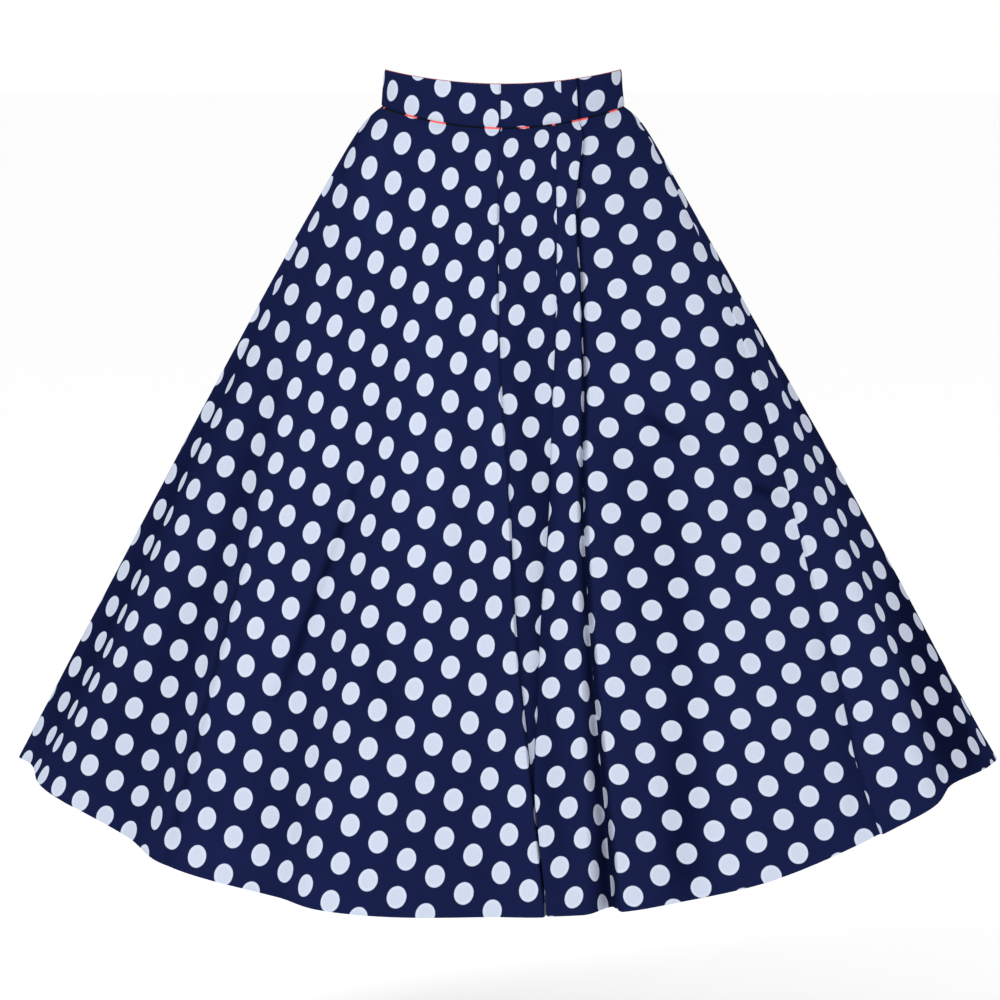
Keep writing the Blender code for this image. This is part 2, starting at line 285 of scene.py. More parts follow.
CREASES = (
    Crease(-31.5, 0.47, -39, 0.8, -1.8, 5, 1),
    Crease(-34.5, 0.5, -41.5, 0.84, 1.4, 9, 1),
    Crease(-55, 0.12, -48.5, 0.26, -1.6, 7, 0.5),
    Crease(-26.8, 0.4, -28.5, 0.7, -1.2, 8),
    Crease(-8.5, 0.36, -7.5, 0.62, -2.6, 10, -1.2),
    Crease(-5.4, 0.48, -1.5, 0.78, -2, 8),
    Crease(-13, 0.3, -13.5, 0.7, 1.6, 13),
    Crease(-17, 0.62, -15, 0.98, -2.2, 12, 0.8),
    Crease(-71, 0.44, -64, 0.74, 2, 8),
    Crease(-52, 0.55, -46, 1, -2.6, 6),
    Crease(-66, 0.72, -66.5, 1, 1.8, 8),
    Crease(-43, 0.3, -42, 0.62, 1.4, 10),
    Crease(20.5, 0.66, 20.8, 0.98, -2, 9, 0.3),
    Crease(25, 0.55, 26.5, 0.98, 1.6, 12),
    Crease(41, 0.42, 37, 0.78, -1.2, 13, 0.6),
    Crease(72, 0.5, 63.5, 0.64, -2.2, 8),
    Crease(29.7, 0.39, 40.4, 0.46, -1.8, 7),
    Crease(46.8, 0.52, 58.2, 0.57, -1.8, 6),
    Crease(49, 0.88, 44, 0.99, -1.6, 9),
    Crease(96, 0.22, 97, 0.8, -2, 12, 0.8),
    Crease(107, 0.4, 109, 0.97, 1.8, 12, -0.8),
    Crease(121, 0.52, 123, 0.99, -2.4, 11, 0.6),
    Crease(134, 0.3, 131.5, 0.66, -1.8, 9),
    Crease(147, 0.46, 149.5, 0.92, 2.2, 12, 1),
    Crease(160, 0.6, 163, 0.99, -2, 10),
    Crease(173, 0.34, 174, 0.8, 1.6, 9),
    Crease(-96, 0.3, -95, 0.85, -2.2, 11, -0.6),
    Crease(-108, 0.55, -105, 0.98, -2, 10),
    Crease(-121, 0.36, -118.5, 0.76, 1.8, 12, 0.8),
    Crease(-134, 0.5, -131, 0.98, -2.2, 9),
    Crease(-146, 0.28, -145, 0.7, -1.6, 10, 0.6),
    Crease(-158, 0.62, -160, 1, 2.2, 12),
    Crease(-172, 0.44, -174, 0.88, -1.8, 9),
)

# Painted shades on the cloth's colour; a share below 0 is a painted light.
SHADES = (
    Shade(-61, 0.36, -57.5, 0.62, 0.3, 20, 24),
    Shade(-51.5, 0.58, -46.5, 1, 0.55, 4, 6),
    Shade(-58, 0.62, -63, 0.97, 0.3, 24, 34),
    Shade(-80, 0.28, -84, 1, 0.45, 26, 85),
    Shade(-86, 0, -76, 0.12, 0.3, 12, 14),
    Shade(-62, 0.02, -42, 0.18, -0.2, 14, 16),
    Shade(-32.3, 0.47, -37.2, 0.75, 0.75, 3.5, 5),
    Shade(-24, 0.64, -17, 0.78, 0.25, 15, 15),
    Shade(-24.3, 0.2, -12, 0.6, -0.15, 18, 30),
    Shade(-4, 0.2, -1.5, 0.5, -0.15, 12, 10),
    Shade(-45, 0.96, -20, 0.98, -0.15, 20, 20),
    Shade(4.2, 0.2, 5.4, 0.98, 0.35, 13, 12),
    Shade(8.6, 0.42, 7.3, 0.54, 0.4, 7, 7),
    Shade(24, 0.4, 20.5, 0.7, 0.25, 16, 16),
    Shade(31, 0.42, 25, 0.78, 0.45, 20, 22),
    Shade(25, 0.76, 20, 1, 0.55, 15, 22),
    Shade(29.7, 0.39, 40.4, 0.46, 0.5, 6, 7),
    Shade(46.8, 0.52, 58.2, 0.57, 0.65, 4, 5),
    Shade(47.5, 0.76, 52, 0.77, 0.5, 4, 4),
    Shade(66, 0.33, 56, 0.55, 0.35, 24, 28),
    Shade(46.8, 0.2, 46, 0.42, -0.15, 20, 20),
    Shade(86, 0.32, 82, 0.66, 0.45, 16, 24),
    Shade(84, 0.68, 71, 1, 0.95, 28, 48),
    Shade(101, 0.3, 102, 1, 0.4, 18, 40),
    Shade(128, 0.35, 130, 1, 0.35, 16, 34),
    Shade(154, 0.3, 158, 1, 0.35, 16, 30),
    Shade(-128, 0.35, -124, 1, 0.35, 16, 34),
    Shade(-154, 0.3, -151, 1, 0.3, 16, 30),
)

SKIRT_GRAIN = {
    "skirt_front_left": (
        Grain("left_side", "left_ridge_2", -27, 46,
              (5, 13), (7, 10), (15, 24), (4, -1), (3, -4), (9, -15)),
        Grain("left_ridge_2", "front_seam", -12, 30,
              (6, 14), (14, -26), (19, 28), (5, -2), (-5, 2), (3, -9),
              (4, -1), (-10, 24), (3, -4)),
    ),
    "skirt_front_right": (
        Grain("front_seam", "front_tuck", 3, 2,
              (11, 3), (37, -23), (-6, 10), (-1, 0), (3, 0), (-6, 0),
              (-9, -1)),
        Grain("front_tuck", "front_pleat", 6, -15,
              (5, 21), (41, 10), (31, 21), (1, 0), (-3, 1), (11, -4),
              (12, 3)),
        Grain("front_pleat", "right_tuck", 14, -30,
              (-12, 7), (12, -14), (2, 5), (-6, -7), (-4, 11), (-5, -3),
              (19, 11), (-3, -4), (-9, -5)),
        Grain("right_tuck", "right_side", 22, -40,
              (1, 16), (8, -36), (40, 29), (-2, -1), (5, 5), (-12, -16)),
    ),
    "skirt_back_left": (
        Grain("back_seam", "left_side", 17, -24, (6, 3), (7, 3), (4, -8)),
    ),
    "skirt_back_right": (
        Grain("right_side", "back_seam_end", -17, 27, (-4, 11), (7, -3), (-4, -8)),
    ),
}

BAND_GRAIN = {
    "waistband_front_left": (
        Grain("left_side", "front_seam", 0, 25, (4, -2), (29, -18), (1, 0), (18, -2)),
    ),
    "waistband_front_right": (
        Grain("front_seam", "band_tuck", 0, 76, (6, 38), (5, -4), (-2, -2)),
        Grain("band_tuck", "band_pleat", 0, -10, (12, 0), (-22, 2), (4, 1)),
        Grain("band_pleat", "right_side", 0, -22, (16, 28), (-17, -16)),
    ),
    "waistband_back_left": (
        Grain("back_seam", "left_side", 0, -84, (8, 5)),
    ),
    "waistband_back_right": (
        Grain("right_side", "back_seam_end", 0, -6, (3, 9)),
    ),
}

BAND_BREAKS = {"band_tuck": 28.2, "band_pleat": 38.7}

EASED_FROM = {"left_ridge_2": "left_valley_2"}


def through_stations(values: tuple, level: Array) -> Array:
    """Read the smooth curve through one value at each station.

    Args:
        values: One value for each station.
        level: Levels to read it at.
    Returns:
        The curve's value at each level.
    """
    total = np.zeros_like(level)
    for i, value in enumerate(values):
        weight = np.ones_like(level)
        for j, station in enumerate(STATIONS):
            if j != i:
                weight = weight * (level - station) / (STATIONS[i] - station)
        total = total + value * weight
    return total


def smooth_step(value: Array) -> Array:
    """Ease a share from 0 to 1."""
    share = np.clip(value, 0.0, 1.0)
    return share * share * (3.0 - 2.0 * share)


def fade_ends(run: Array, past: float, over: float) -> Array:
    """Fade from 1 to 0 towards a little past both ends of a line, by shares of its length."""
    return smooth_step((run + past) / over) * smooth_step((1.0 + past - run) / over)


def run_along(points: Array, axis: int) -> Array:
    """Measure along a grid's columns (axis 0) or rows (axis 1), from their start to each point."""
    steps = np.linalg.norm(np.diff(points, axis=axis), axis=-1)
    return np.concatenate((np.zeros_like(steps.take([0], axis)), np.cumsum(steps, axis)), axis)


def from_seam(points: Array) -> Array:
    """Give how far each point of a panel lies from the nearer of its two side seams."""
    run = run_along(points, 1)
    return np.minimum(run, run[:, -1:] - run)


def path_at(points: Array, distance: float) -> Array:
    """Give the path that lies at a distance along the cloth from a grid's first row."""
    run = run_along(points, 0)
    return np.array([[np.interp(distance, run[:, column], points[:, column, axis])
                      for axis in range(3)] for column in range(points.shape[1])])


def outward_normals(points: Array) -> Array:
    """Give the unit normals of a grid whose rows run down and columns to the right."""
    normal = np.cross(np.gradient(points, axis=0), np.gradient(points, axis=1))
    return normal / np.linalg.norm(normal, axis=-1, keepdims=True)


@dataclass(frozen=True)
class SkirtForm:
    """The plain form of the worn skirt, and the folds that run down it."""

    waist_half_width: float = 0.1222
    waist_half_depth: float = 0.0920
    band_lean: float = 0.0030
    band_top: float = 0.0200
    band_foot: float = -0.0167
    top_dip_front: float = 0.0140
    top_dip_back: float = 0.0165
    foot_dip: float = 0.0205
    shoulder: float = 0.0115
    shoulder_run: float = 0.012
    fold_order: float = 0.05
    fold_spread: float = 2.5

    def hem_section(self, azimuth: Array) -> Array:
        """Read x, y and cut length of the plain hem at azimuths, from a smooth closed curve."""
        table = np.array(HEM_SECTION)
        count = len(table)
        place = (azimuth * count / 360.0) % count
        row = np.floor(place).astype(int)
        s = (place - row)[..., None]
        before, first, second, after = [table[(row + k) % count] for k in (-1, 0, 1, 2)]
        return 0.5 * (
            2.0 * first
            + (second - before) * s
            + (2.0 * before - 5.0 * first + 4.0 * second - after) * s ** 2
            + (3.0 * first - before - 3.0 * second + after) * s ** 3
        )

    def plain_plan(self, azimuth: Array, level: Array) -> Array:
        """Give the plain form's x and y at azimuths and levels."""
        angle = np.radians(azimuth)
        waist = np.stack((self.waist_half_width * np.sin(angle),
                          -self.waist_half_depth * np.cos(angle)), -1)
        return waist + (self.hem_section(azimuth)[..., :2] - waist) * level[..., None]

    def plan_tangent(self, azimuth: Array, level: Array) -> Array:
        """Give the change of x and y for each degree of azimuth."""
        step = 0.5
        return self.plain_plan(azimuth + step, level) - self.plain_plan(azimuth - step, level)

    def foot_height(self, azimuth: Array) -> Array:
        """Give the height of the waist seam."""
        return self.band_foot - self.foot_dip * np.cos(np.radians(azimuth)) ** 2

    def top_height(self, azimuth: Array) -> Array:
        """Give the height of the band's top edge."""
        across = np.cos(np.radians(azimuth))
        dip = np.where(across > 0.0, self.top_dip_front, self.top_dip_back)
        return self.band_top - dip * across ** 2

    def cloth_point(self, azimuth: Array, level: Array,
                    height: Array) -> Array:
        """Place points of the skirt.

        Args:
            azimuth: Azimuths in degrees.
            level: Levels from 0 at the waist seam to 1 at the hem.
            height: Heights outside the plain form, in metres.
        Returns:
            The points, with x, y and z last.
        """
        tangent = self.plan_tangent(azimuth, level)
        length = np.linalg.norm(tangent, axis=-1, keepdims=True)
        outward = np.stack((tangent[..., 1], -tangent[..., 0]), -1) / length
        hem = self.hem_section(azimuth)
        waist = self.plain_plan(azimuth, np.zeros_like(level))
        spread = np.linalg.norm(hem[..., :2] - waist, axis=-1)
        drop = np.sqrt(hem[..., 2] ** 2 - spread ** 2)
        run = 1.0 - np.exp(-level * hem[..., 2] / self.shoulder_run)
        swell = self.shoulder * run * (1.0 - level)
        plan = self.plain_plan(azimuth, level) + outward * (height + swell)[..., None]
        z = self.foot_height(azimuth) - drop * level
        return np.concatenate((plan, z[..., None]), -1)

    def band_point(self, azimuth: Array, rise: Array,
                   height: Array) -> Array:
        """Place points of the waistband.

        Args:
            azimuth: Azimuths in degrees.
            rise: Shares of the way from the waist seam to the top edge.
            height: Heights outside the waist ring, in metres.
        Returns:
            The points, with x, y and z last.
        """
        angle = np.radians(azimuth)
        reach = height - self.band_lean * rise
        x = (self.waist_half_width + reach) * np.sin(angle)
        y = -(self.waist_half_depth + reach) * np.cos(angle)
        foot = self.foot_height(azimuth)
        z = foot + (self.top_height(azimuth) - foot) * rise
        return np.stack((x, y, z), -1)

    @staticmethod
    def nudged(line: str, level: Array) -> Array:
        """Sum a line's local shifts, in degrees."""
        total = np.zeros_like(level)
        for nudge in NUDGES:
            if nudge.line == line:
                total += nudge.degrees * np.exp(-((level - nudge.level) / nudge.reach) ** 2)
        return total

    def fold_rows(self, level: Array) -> tuple:
        """Give azimuth in degrees and height in metres of each fold at each level, in order."""
        azimuths = []
        heights = []
        for fold in FOLDS:
            middle = through_stations(LINES[fold.line], level) + self.nudged(fold.line, level)
            metres = np.linalg.norm(self.plan_tangent(middle, level), axis=-1)
            aside = fold.aside + (fold.aside_hem - fold.aside) * level ** self.fold_spread
            azimuths.append(middle + aside * MM / metres)
            heights.append(through_stations(fold[1:5], level) * MM)
        order = np.arange(len(FOLDS))[:, None] * self.fold_order
        azimuth = np.maximum.accumulate(np.array(azimuths) - order, axis=0) + order
        return azimuth, np.array(heights)


FORM = SkirtForm()


def fold_index(line: str) -> int:
    """Give the index of the fold that lies on a line itself, or the first one beside it."""
    on_line = [i for i, fold in enumerate(FOLDS) if fold.line == line]
    exact = [i for i in on_line if FOLDS[i].aside == 0.0]
    return exact[0] if exact else on_line[0]


@dataclass
class ClothGrid:
    """A stretch of cloth between two seam lines, as a grid of azimuths, levels and heights."""

    start: str
    end: str
    levels: Array
    column: float = 0.0026
    least: int = 5
    fold: Array = field(init=False)
    share: Array = field(init=False)
    azimuth: Array = field(init=False)
    height: Array = field(init=False)

    def __post_init__(self) -> None:
        """Work out the grid's azimuths and heights, level by level."""
        first, last = fold_index(self.start), fold_index(self.end)
        hem_azimuth, hem_height = FORM.fold_rows(np.array([1.0]))
        columns = []
        for index in range(first, last):
            ends = FORM.plain_plan(hem_azimuth[index:index + 2, 0], np.ones(2))
            run = np.linalg.norm(ends[1] - ends[0])
            rise = abs(hem_height[index + 1, 0] - hem_height[index, 0])
            count = max(self.least, math.ceil(math.hypot(run, rise) / self.column))
            columns.extend((index, part / count) for part in range(count))
        columns.append((last, 0.0))
        self.fold = np.array([column[0] for column in columns])
        self.share = np.array([column[1] for column in columns])
        fold_azimuth, fold_height = FORM.fold_rows(self.levels)
        ahead = np.minimum(self.fold + 1, len(FOLDS) - 1)
        part = self.share[:, None]
        roll = 0.5 - 0.5 * np.cos(np.pi * part)
        self.azimuth = (fold_azimuth[self.fold] * (1 - part) + fold_azimuth[ahead] * part).T
        self.height = (fold_height[self.fold] * (1 - roll) + fold_height[ahead] * roll).T

    @property
    def level(self) -> Array:
        """The level of every point of the grid."""
        return np.broadcast_to(self.levels[:, None], self.azimuth.shape)

    def column_of(self, line: str) -> int:
        """Give the column where a line's middle runs, or that is nearest a break in the band."""
        if line in BAND_BREAKS:
            return int(np.argmin(np.abs(self.azimuth[0] - BAND_BREAKS[line])))
        exact = fold_index(line)
        if FOLDS[exact].aside == 0.0:
            return int(np.nonzero((self.fold == exact) & (self.share == 0.0))[0][0])
        inside = np.nonzero(self.fold == exact)[0]
        return int(inside[np.argmin(np.abs(self.share[inside] - 0.5))])


@dataclass(frozen=True)
class Drape:
    """The soft relief of hanging cotton, over and above the folds, and its painted soft shades."""

    wave: float = 1.5 * MM
    wave_length: float = 0.085
    ripple: float = 0.45 * MM
    ripple_length: float = 0.026
    tall: float = 2.6
    waist_calm: float = 0.10
    fall: float = 0.78
    crease_fade: tuple = (0.12, 0.35)
    shade_fade: tuple = (0.15, 0.4)
    seam_dip: float = 0.7 * MM
    seam_reach: float = 4.0 * MM
    seam_calm: float = 12.0 * MM

    def reach(self, grid: ClothGrid, row: Crease | Shade, bow: float = 0.0) -> tuple:
        """Measure every point of the cloth against a line between two points.

        Args:
            grid: The stretch of cloth.
            row: What has the two points.
            bow: How far the line's middle lies to the side, in degrees.
        Returns:
            The share of the line's length that each point lies at, and how far it lies from the
            line, in metres.
        """
        metres = np.linalg.norm(FORM.plan_tangent(grid.azimuth, grid.level), axis=-1)
        right = (row.azimuth_end - row.azimuth) * metres
        down = (row.level_end - row.level) * self.fall
        across = (grid.azimuth - row.azimuth) * metres
        along = (grid.level - row.level) * self.fall
        length = np.hypot(right, down)
        run = (across * right + along * down) / length ** 2
        across = across - bow * metres * np.sin(np.pi * np.clip(run, 0.0, 1.0))
        return run, (across * down - along * right) / length

    def creases(self, grid: ClothGrid) -> Array:
        """Sum the heights of the listed soft troughs and ridges, in metres."""
        total = np.zeros_like(grid.height)
        for crease in CREASES:
            run, away = self.reach(grid, crease, crease.bow)
            profile = np.exp(-(away / (crease.half_width * MM)) ** 2)
            total += crease.height * MM * profile * fade_ends(run, *self.crease_fade)
        return total

    def shades(self, grid: ClothGrid) -> Array:
        """Sum the listed painted shades and lights, as a share at every point of the cloth."""
        total = np.zeros_like(grid.height)
        for shade in SHADES:
            run, away = self.reach(grid, shade)
            inside = np.clip(run, 0.0, 1.0)
            width = shade.half_width + (shade.half_width_end - shade.half_width) * inside
            profile = np.exp(-(away / (width * MM)) ** 2)
            total += shade.share * profile * fade_ends(run, *self.shade_fade)
        return total

    def undulation(self, points: Array, level: Array) -> Array:
        """Give the faint unevenness of hanging cloth at its points and levels, in metres."""
        flat = points.reshape(-1, 3)
        out = np.empty(len(flat))
        for number, (x, y, z) in enumerate(flat):
            broad = Vector((x, y, z / self.tall)) / self.wave_length
            fine = Vector((x, y, z / self.tall)) / self.ripple_length
            out[number] = self.wave * noise.noise(broad) + self.ripple * noise.noise(fine)
        return out.reshape(points.shape[:2]) * smooth_step(level / self.waist_calm)

    def relief(self, grid: ClothGrid) -> Array:
        """Give the height of the creases and the unevenness, calm at the seams and sunk there."""
        plain = FORM.cloth_point(grid.azimuth, grid.level, grid.height)
        nearest = from_seam(plain)
        loose = self.creases(grid) + self.undulation(plain, grid.level)
        ditch = -self.seam_dip * np.exp(-(nearest / self.seam_reach) ** 2)
        return loose * smooth_step(nearest / self.seam_calm) + ditch


@dataclass(frozen=True)
class FlatCut:
    """Lays a grid of cloth points out flat, and the print on it."""

    bearing_step: float = math.radians(15.0)
    middle_radius: float = 0.70
    radius_step: float = 0.35
    waist_reach: float = 0.16
    band_run: float = 0.10
    band_fall: float = 0.02

    def polar(self, points: Array, column: int) -> tuple:
        """Unroll a flared panel.

        Args:
            points: The panel's points, rows running down.
            column: The column that has bearing 0.
        Returns:
            Radius from the cut's apex, in metres, and bearing, in radians, of each point.
        """
        length = run_along(points, 0)
        across = np.linalg.norm(np.diff(points, axis=1), axis=-1)
        slope, start = np.polyfit(length.mean(1), across.sum(1), 1)
        radius = start / slope + length
        between = 0.5 * (radius[:, 1:] + radius[:, :-1])
        bearing = np.cumsum(across / between, 1)
        bearing = np.concatenate((np.zeros((len(points), 1)), bearing), 1)
        return radius, bearing - bearing[:, column:column + 1]

    def panel_place(self, radius: Array, bearing: Array, grain: Grain) -> Array:
        """Place a panel's points in the print, in metres, from their radius and bearing."""
        angle = bearing - math.radians(grain.bearing)
        flat = np.stack((radius * np.sin(angle), -radius * np.cos(angle)), -1)
        round_step = (angle / self.bearing_step)[..., None]
        down_step = ((radius - self.middle_radius) / self.radius_step)[..., None]
        near = np.exp(-((radius - radius.min()) / self.waist_reach) ** 2)[..., None]
        return self.turned(flat, grain) + self.drift(round_step, down_step, grain, near)

    def band_place(self, points: Array, column: int, grain: Grain) -> Array:
        """Place a waistband's points in the print, from its length and height.

        Args:
            points: The band's points, rows running down.
            column: The column that its length is measured from.
            grain: How the print lies there.
        Returns:
            The place in the print of each point, in metres.
        """
        run = run_along(points, 1)
        run = run - run[:, column:column + 1]
        length = run_along(points, 0)
        drift = self.drift((run / self.band_run)[..., None], (length / self.band_fall)[..., None],
                           grain)
        return self.turned(np.stack((run, -length), -1), grain) + drift

    @staticmethod
    def drift(round_step: Array, down_step: Array, grain: Grain,
              near: float | Array = 0.0) -> Array:
        """Give how far hanging has drawn the print off its flat lay, in metres."""
        steps = (1.0, round_step, down_step, round_step ** 2, round_step * down_step,
                 down_step ** 2, near, near * round_step, near * round_step ** 2)
        return sum(step * np.array(pair) for step, pair in zip(steps, grain[4:])) * MM

    @staticmethod
    def turned(flat: Array, grain: Grain) -> Array:
        """Turn flat points into the print's own axes."""
        turn = math.radians(grain.turn)
        right = flat[..., 0] * math.cos(turn) + flat[..., 1] * math.sin(turn)
        up = -flat[..., 0] * math.sin(turn) + flat[..., 1] * math.cos(turn)
        return np.stack((right, up), -1)


def lay_print(grid: ClothGrid, grains: tuple, flat_of: Callable) -> Array:
    """Lay the print out on a piece, region by region.

    Args:
        grid: The piece's grid.
        grains: How the print lies on each of its regions.
        flat_of: Gives the place in the print of every point of the grid, for one grain.
    Returns:
        The print's place at the left and right points of every face column, with axes row,
        face column, left or right, and u or v.
    """
    rows, columns = grid.azimuth.shape
    place = np.zeros((rows, columns - 1, 2, 2))
    for grain in grains:
        first, last = grid.column_of(grain.start), grid.column_of(grain.end)
        begin = grid.column_of(EASED_FROM.get(grain.start, grain.start))
        flat = flat_of(grain)[:, begin:last + 1]
        eased = smooth_step(np.arange(1.0, last - begin + 2.0) / (first - begin + 1.0))
        for side in (0, 1):
            part = slice(side, last - begin + side)
            share = eased[part, None]
            before = place[:, begin:last, side] * (1.0 - share)
            place[:, begin:last, side] = before + flat[:, part] * share
    return place


class NodeTree:
    """A short way to write node trees: adds nodes, sets their values and links them."""

    def __init__(self, tree: bpy.types.NodeTree) -> None:
        """Keep the tree."""
        self.tree = tree

    def add(self, kind: str, values: dict, **settings: object) -> bpy.types.Node:
        """Add a node, set its properties and fill its inputs."""
        node = self.tree.nodes.new(kind)
        for name, value in settings.items():
            setattr(node, name, value)
        self.fill(node, values)
        return node

    def fill(self, node: bpy.types.Node, values: dict) -> None:
        """Link or set a node's inputs, by name or number; None leaves an input as it is."""
        for key, value in values.items():
            if isinstance(value, Socket):
                self.tree.links.new(value, node.inputs[key])
            elif value is not None:
                node.inputs[key].default_value = value

    def maths(self, operation: str, *values: object) -> Socket:
        """Add a Math node on these values and give its output."""
        return self.add("ShaderNodeMath", dict(enumerate(values)), operation=operation).outputs[0]

    def vector(self, operation: str, *values: object,
               output: str = "Vector") -> Socket:
        """Add a Vector Math node on these values and give one of its outputs."""
        node = self.add("ShaderNodeVectorMath", dict(enumerate(values)), operation=operation)
        return node.outputs[output]

    def ramp(self, value: object, low: object, high: object, start: float = 0.0,
             end: float = 1.0) -> Socket:
        """Map a value smoothly from one range to another."""
        return self.add("ShaderNodeMapRange", {
            "Value": value, "From Min": low, "From Max": high, "To Min": start, "To Max": end,
        }, interpolation_type="SMOOTHSTEP").outputs["Result"]

    def mix(self, share: object, first: object, second: object) -> Socket:
        """Mix two colours."""
        return self.add("ShaderNodeMix", {0: share, 6: first, 7: second},
                        data_type="RGBA").outputs[2]

    def noise(self, place: object, scale: float, detail: float = 2.0,
              rough: float = 0.5) -> Socket:
        """Add a Noise texture and give its grey value."""
        return self.add("ShaderNodeTexNoise", {
            "Vector": place, "Scale": scale, "Detail": detail, "Roughness": rough,
        }).outputs["Fac"]

    def bump(self, height: object, strength: float, distance: float,
             normal: object = None) -> Socket:
        """Add a Bump node and give its normal."""
        return self.add("ShaderNodeBump", {
            "Height": height, "Strength": strength, "Distance": distance, "Normal": normal,
        }).outputs["Normal"]

    def rough(self, grey: object, middle: float, spread: float) -> Socket:
        """Spread the roughness about its middle value by a grey value."""
        return self.maths("MULTIPLY_ADD", grey, spread, middle - spread / 2.0)

    def cut_place(self) -> Socket:
        """Read the map that lays the cloth out flat."""
        return self.add("ShaderNodeUVMap", {}, uv_map="cut").outputs["UV"]

    def object_place(self) -> Socket:
        """Read the place in the object's own coordinates."""
        return self.add("ShaderNodeTexCoord", {}).outputs["Object"]

    def on_place(self, group: bpy.types.NodeTree, place: object) -> bpy.types.NodeOutputs:
        """Add a node group on a place and give its outputs."""
        node = self.add("ShaderNodeGroup", {}, node_tree=group)
        self.fill(node, {"Place": place})
        return node.outputs


def new_group(name: str, sizes: dict, results: tuple, kind: str = "ShaderNodeTree",
              first: tuple = ("Place", "NodeSocketVector"),
              last: str = "NodeSocketFloat") -> tuple:
    """Start a node group that reads one thing, such as a place, and named sizes.

    Args:
        name: The group's name.
        sizes: The name and value of each size.
        results: The names of its outputs.
        kind: The kind of tree.
        first: The name and kind of what it reads.
        last: The kind of its outputs.
    Returns:
        The group, a writer for it, the outputs of its input node, and its output node.
    """
    group = bpy.data.node_groups.new(name, kind)
    face = group.interface
    face.new_socket(name=first[0], in_out="INPUT", socket_type=first[1])
    for label, value in sizes.items():
        size = face.new_socket(name=label, in_out="INPUT", socket_type="NodeSocketFloat")
        size.default_value = value
    for label in results:
        face.new_socket(name=label, in_out="OUTPUT", socket_type=last)
    write = NodeTree(group)
    return group, write, write.add("NodeGroupInput", {}).outputs, write.add("NodeGroupOutput", {})


def new_material(name: str) -> tuple:
    """Start a material, and give it with a writer for its tree and its Principled shader."""
    material = bpy.data.materials.new(name)
    material.use_nodes = True
    return material, NodeTree(material.node_tree), material.node_tree.nodes["Principled BSDF"]


def linked(name: str, data: bpy.types.ID | None) -> Object:
    """Put a new object with this data into the scene."""
    item = bpy.data.objects.new(name, data)
    bpy.context.scene.collection.objects.link(item)
    return item


@dataclass(frozen=True)
class DotPrint:
    """The printed repeat: round dots at the corners and the middle of an oblong."""

    pitch: float = 42.7 * MM
    row: float = 55.8 * MM
    radius: float = 10.15 * MM
    edge: float = 0.45 * MM
    wobble: float = 0.35 * MM
    wobble_scale: float = 260.0
    rim: float = 1.6 * MM
    rim_ease: float = 2.0 * MM

    def group(self) -> bpy.types.NodeTree:
        """Build the node group, which gives the dots' mask and their slightly brighter rim."""
        group, write, given, out = new_group(
            "dot_print", {"Pitch": self.pitch, "Row": self.row, "Radius": self.radius,
                          "Edge": self.edge, "Wobble": self.wobble}, ("Dots", "Rim"))
        cell = write.add("ShaderNodeCombineXYZ", {0: given["Pitch"], 1: given["Row"], 2: 1.0})
        size = cell.outputs[0]
        share = write.vector("DIVIDE", given["Place"], size)
        nearest = []
        for shift in (0.5, 0.0):
            inside = write.vector("FRACTION", write.vector("ADD", share, (shift, shift, 0.0)))
            middle = write.vector("SUBTRACT", inside, (0.5, 0.5, 0.0))
            reach = write.vector("MULTIPLY", middle, size)
            nearest.append(write.vector("LENGTH", reach, output="Value"))
        uneven = write.noise(given["Place"], self.wobble_scale, 1.0)
        uneven = write.maths("MULTIPLY", write.maths("SUBTRACT", uneven, 0.5), given["Wobble"])
        distance = write.maths("ADD", write.maths("MINIMUM", *nearest), uneven)
        low = write.maths("SUBTRACT", given["Radius"], given["Edge"])
        high = write.maths("ADD", given["Radius"], given["Edge"])
        rim = write.maths("SUBTRACT", given["Radius"], self.rim)
        write.fill(out, {
            "Dots": write.ramp(distance, low, high, 1.0, 0.0),
            "Rim": write.ramp(distance, write.maths("SUBTRACT", rim, self.rim_ease), rim),
        })
        return group


@dataclass(frozen=True)
class PlainWeave:
    """The cotton's plain weave, with a little unevenness in its yarns."""

    yarn: float = 0.42 * MM
    slub: float = 0.35
    slub_scale: float = 900.0
    slub_stretch: float = 0.06

    def group(self) -> bpy.types.NodeTree:
        """Build the node group, which gives the weave's height and the share of its shade."""
        group, write, given, out = new_group(
            "plain_weave", {"Yarn": self.yarn, "Slub": self.slub}, ("Height", "Shade"))
        parts = write.add("ShaderNodeSeparateXYZ", {0: given["Place"]}).outputs
        turns = write.maths("DIVIDE", math.pi, given["Yarn"])
        weft, warp = [write.maths("SINE", write.maths("MULTIPLY", parts[axis], turns))
                      for axis in (0, 1)]
        rounded = write.maths("MULTIPLY_ADD", write.maths("MULTIPLY", weft, warp), 0.5, 0.5)
        uneven, crossed = [
            write.noise(write.vector("MULTIPLY", given["Place"], stretch), self.slub_scale, 2.0)
            for stretch in ((1.0, self.slub_stretch, 1.0), (self.slub_stretch, 1.0, 1.0))]
        both = write.maths("ADD", uneven, crossed)
        slubs = write.maths("MULTIPLY", both, given["Slub"])
        write.fill(out, {"Height": write.maths("ADD", rounded, slubs),
                         "Shade": write.maths("MULTIPLY_ADD", both, 0.5, 0.0)})
        return group


